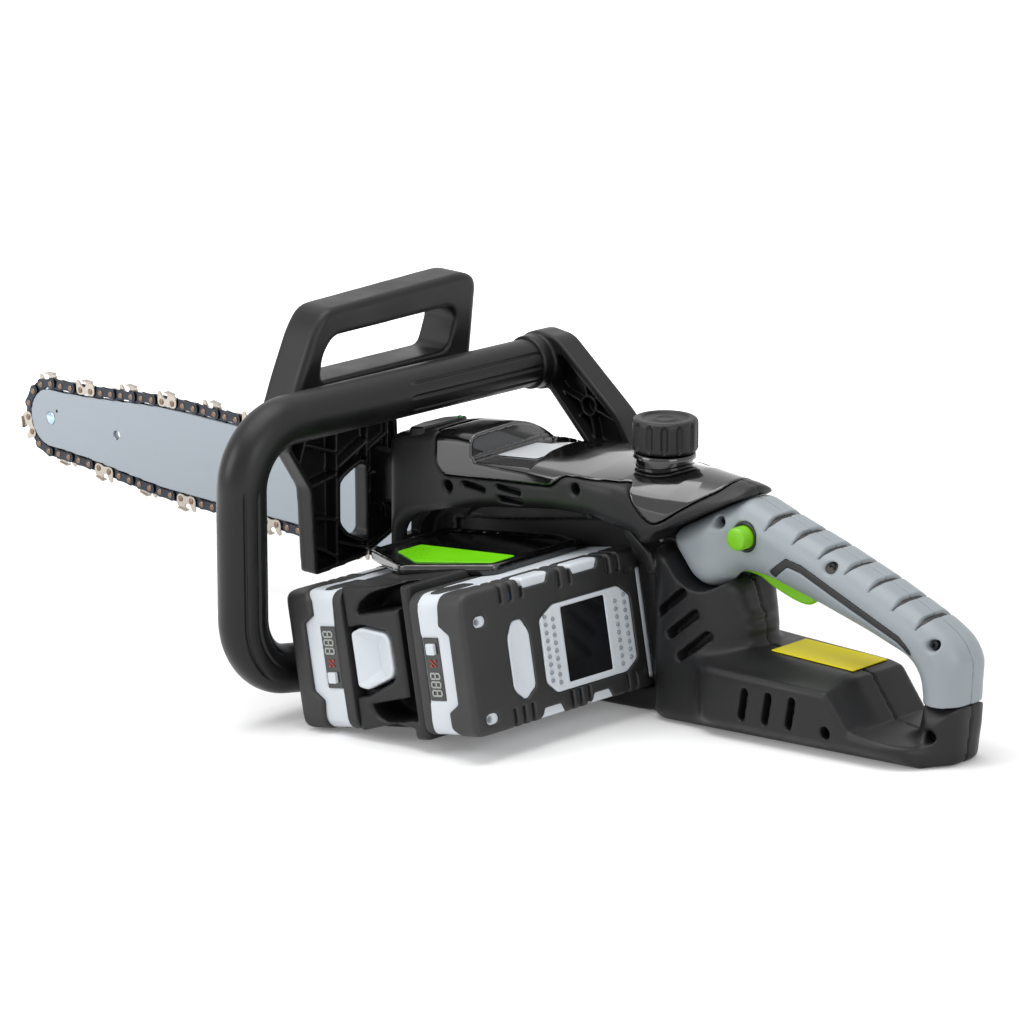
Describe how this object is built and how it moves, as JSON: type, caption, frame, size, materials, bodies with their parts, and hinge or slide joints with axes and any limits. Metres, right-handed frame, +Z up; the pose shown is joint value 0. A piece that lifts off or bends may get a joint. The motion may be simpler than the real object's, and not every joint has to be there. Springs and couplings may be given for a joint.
{
  "type": "chainsaw",
  "caption": "Cordless chainsaw with a guide bar and chain, tube front handle, tipping hand guard, closed rear handle and battery packs that slide into a side dock.",
  "frame": {"origin": "on the flat underside of the rear foot, in the rear handle's middle plane, 27 mm ahead of the foot's back edge", "axes": "+X forward towards the bar's nose, +Y to the saw's left (battery side), +Z up"},
  "size_m": [0.8037, 0.2647, 0.2204],
  "materials": {
    "black_shell": "moulded, fine grain",
    "gloss_cover": "polished mould",
    "grey_grip": "moulded, satin",
    "grip_insert": "soft overmould",
    "lime_plastic": "moulded, satin",
    "black_tube": "moulded, fine grain",
    "yellow_plate": "plain film",
    "white_plate": "plain film",
    "pale_plastic": "moulded, satin",
    "display": "dark window",
    "cell": "sleeved cells",
    "bar_steel": "ground, satin",
    "chain_steel": "blued and plated",
    "hardware": "zinc plated",
    "motor": "laminated",
    "copper": "plain",
    "board": "solder mask",
    "tank": "blow moulded",
    "seal": "moulded"
  },
  "bodies": {
    "frame": {"housing_left": "black_shell", "housing_right": "black_shell", "top_cover": "gloss_cover", "cover_plate": "white_plate", "tab_plate": "black_shell", "foot_plate": "yellow_plate", "grip_left": "grey_grip", "grip_right": "grey_grip", "grip_insert": "grip_insert", "trigger_pin": "hardware", "trigger_switch": "black_shell", "control_board": "board", "housing_screws": "hardware", "front_handle": "black_tube", "handle_strut": "black_tube", "guard_pivot_pin": "hardware", "brake_band": "hardware", "battery_dock": "gloss_cover", "dock_badge": "lime_plastic", "dock_terminals": "copper", "oil_tank": "tank", "filler_neck": "black_shell", "oil_pump": "hardware", "motor_can": "motor", "shaft_bearing": "hardware", "bumper_spike": "hardware", "sprocket_cover": "black_shell", "bar_studs": "hardware", "bar_nuts": "hardware", "tension_screw": "hardware", "tension_pin": "hardware", "guide_bar": "bar_steel", "nose_rivet": "hardware", "saw_chain": "chain_steel"},
    "guard": {"hand_guard": "black_tube"},
    "trigger": {"trigger": "lime_plastic"},
    "lock_button": {"lock_button": "lime_plastic"},
    "cap_lifter": {"cap_seal": "seal"},
    "cap": {"oil_cap": "black_shell"},
    "rotor": {"motor_rotor": "motor", "motor_pinion": "hardware"},
    "drive": {"drive_gear": "hardware", "drive_shaft": "hardware", "drive_sprocket": "hardware"},
    "nose_wheel": {"nose_sprocket": "hardware"},
    "release": {"release_button": "pale_plastic"},
    "front_pack": {"front_pack_case": "black_shell", "front_pack_frame": "pale_plastic", "front_pack_label": "pale_plastic", "front_pack_display": "display", "front_pack_cells": "cell"},
    "front_check": {"front_pack_button": "pale_plastic"},
    "rear_pack": {"rear_pack_case": "black_shell", "rear_pack_frame": "pale_plastic", "rear_pack_label": "pale_plastic", "rear_pack_display": "display", "rear_pack_cells": "cell"},
    "rear_check": {"rear_pack_button": "pale_plastic"}
  },
  "joints": [
    {"name": "guard_tip", "type": "hinge", "parent": "frame", "child": "guard", "pos_m": [0.32072, 0, 0.11654], "axis": [0, 1, 0], "range_deg": [0, 18]},
    {"name": "trigger_squeeze", "type": "hinge", "parent": "frame", "child": "trigger", "pos_m": [0.10381, 0, 0.09335], "axis": [0, 1, 0], "range_deg": [0, 9], "stiffness_Nm_per_rad": 0.6, "springref_deg": -8.59},
    {"name": "lock_press", "type": "slide", "parent": "frame", "child": "lock_button", "axis": [0, -1, 0], "range_m": [0, 0.004], "stiffness_N_per_m": 400, "springref_m": -0.002},
    {"name": "cap_lift", "type": "slide", "parent": "frame", "child": "cap_lifter", "axis": [-0.0698, 0, 0.9976], "range_m": [0, 0.012]},
    {"name": "cap_turn", "type": "hinge", "parent": "cap_lifter", "child": "cap", "pos_m": [0.15776, 0, 0.15326], "axis": [-0.0698, 0, 0.9976], "range_deg": [0, 1080]},
    {"name": "drive_spin", "type": "hinge", "parent": "frame", "child": "drive", "pos_m": [0.28231, -0.02, 0.06373], "axis": [0, 1, 0], "continuous": true},
    {"name": "motor_spin", "type": "hinge", "parent": "frame", "child": "rotor", "pos_m": [0.22644, -0.01, 0.05983], "axis": [0, 1, 0], "continuous": true},
    {"name": "nose_spin", "type": "hinge", "parent": "frame", "child": "nose_wheel", "pos_m": [0.72024, -0.04, 0.09435], "axis": [0, 1, 0], "continuous": true},
    {"name": "release_press", "type": "slide", "parent": "frame", "child": "release", "axis": [0, -1, 0], "range_m": [0, 0.004], "stiffness_N_per_m": 400, "springref_m": -0.002},
    {"name": "front_pack_slide", "type": "slide", "parent": "frame", "child": "front_pack", "axis": [0, 1, 0], "range_m": [0, 0.12]},
    {"name": "front_check_press", "type": "slide", "parent": "front_pack", "child": "front_check", "axis": [0, -1, 0], "range_m": [0, 0.0012], "stiffness_N_per_m": 300, "springref_m": -0.001},
    {"name": "rear_pack_slide", "type": "slide", "parent": "frame", "child": "rear_pack", "axis": [0, 1, 0], "range_m": [0, 0.12]},
    {"name": "rear_check_press", "type": "slide", "parent": "rear_pack", "child": "rear_check", "axis": [0, -1, 0], "range_m": [0, 0.0012], "stiffness_N_per_m": 300, "springref_m": -0.001}
  ],
  "couplings": [
    {"joint": "motor_spin", "follows": "drive_spin", "ratio": -3.6667},
    {"joint": "nose_spin", "follows": "drive_spin", "ratio": 0.66667},
    {"joint": "cap_lift", "follows": "cap_turn", "m_per_rad": 0.00063662}
  ]
}
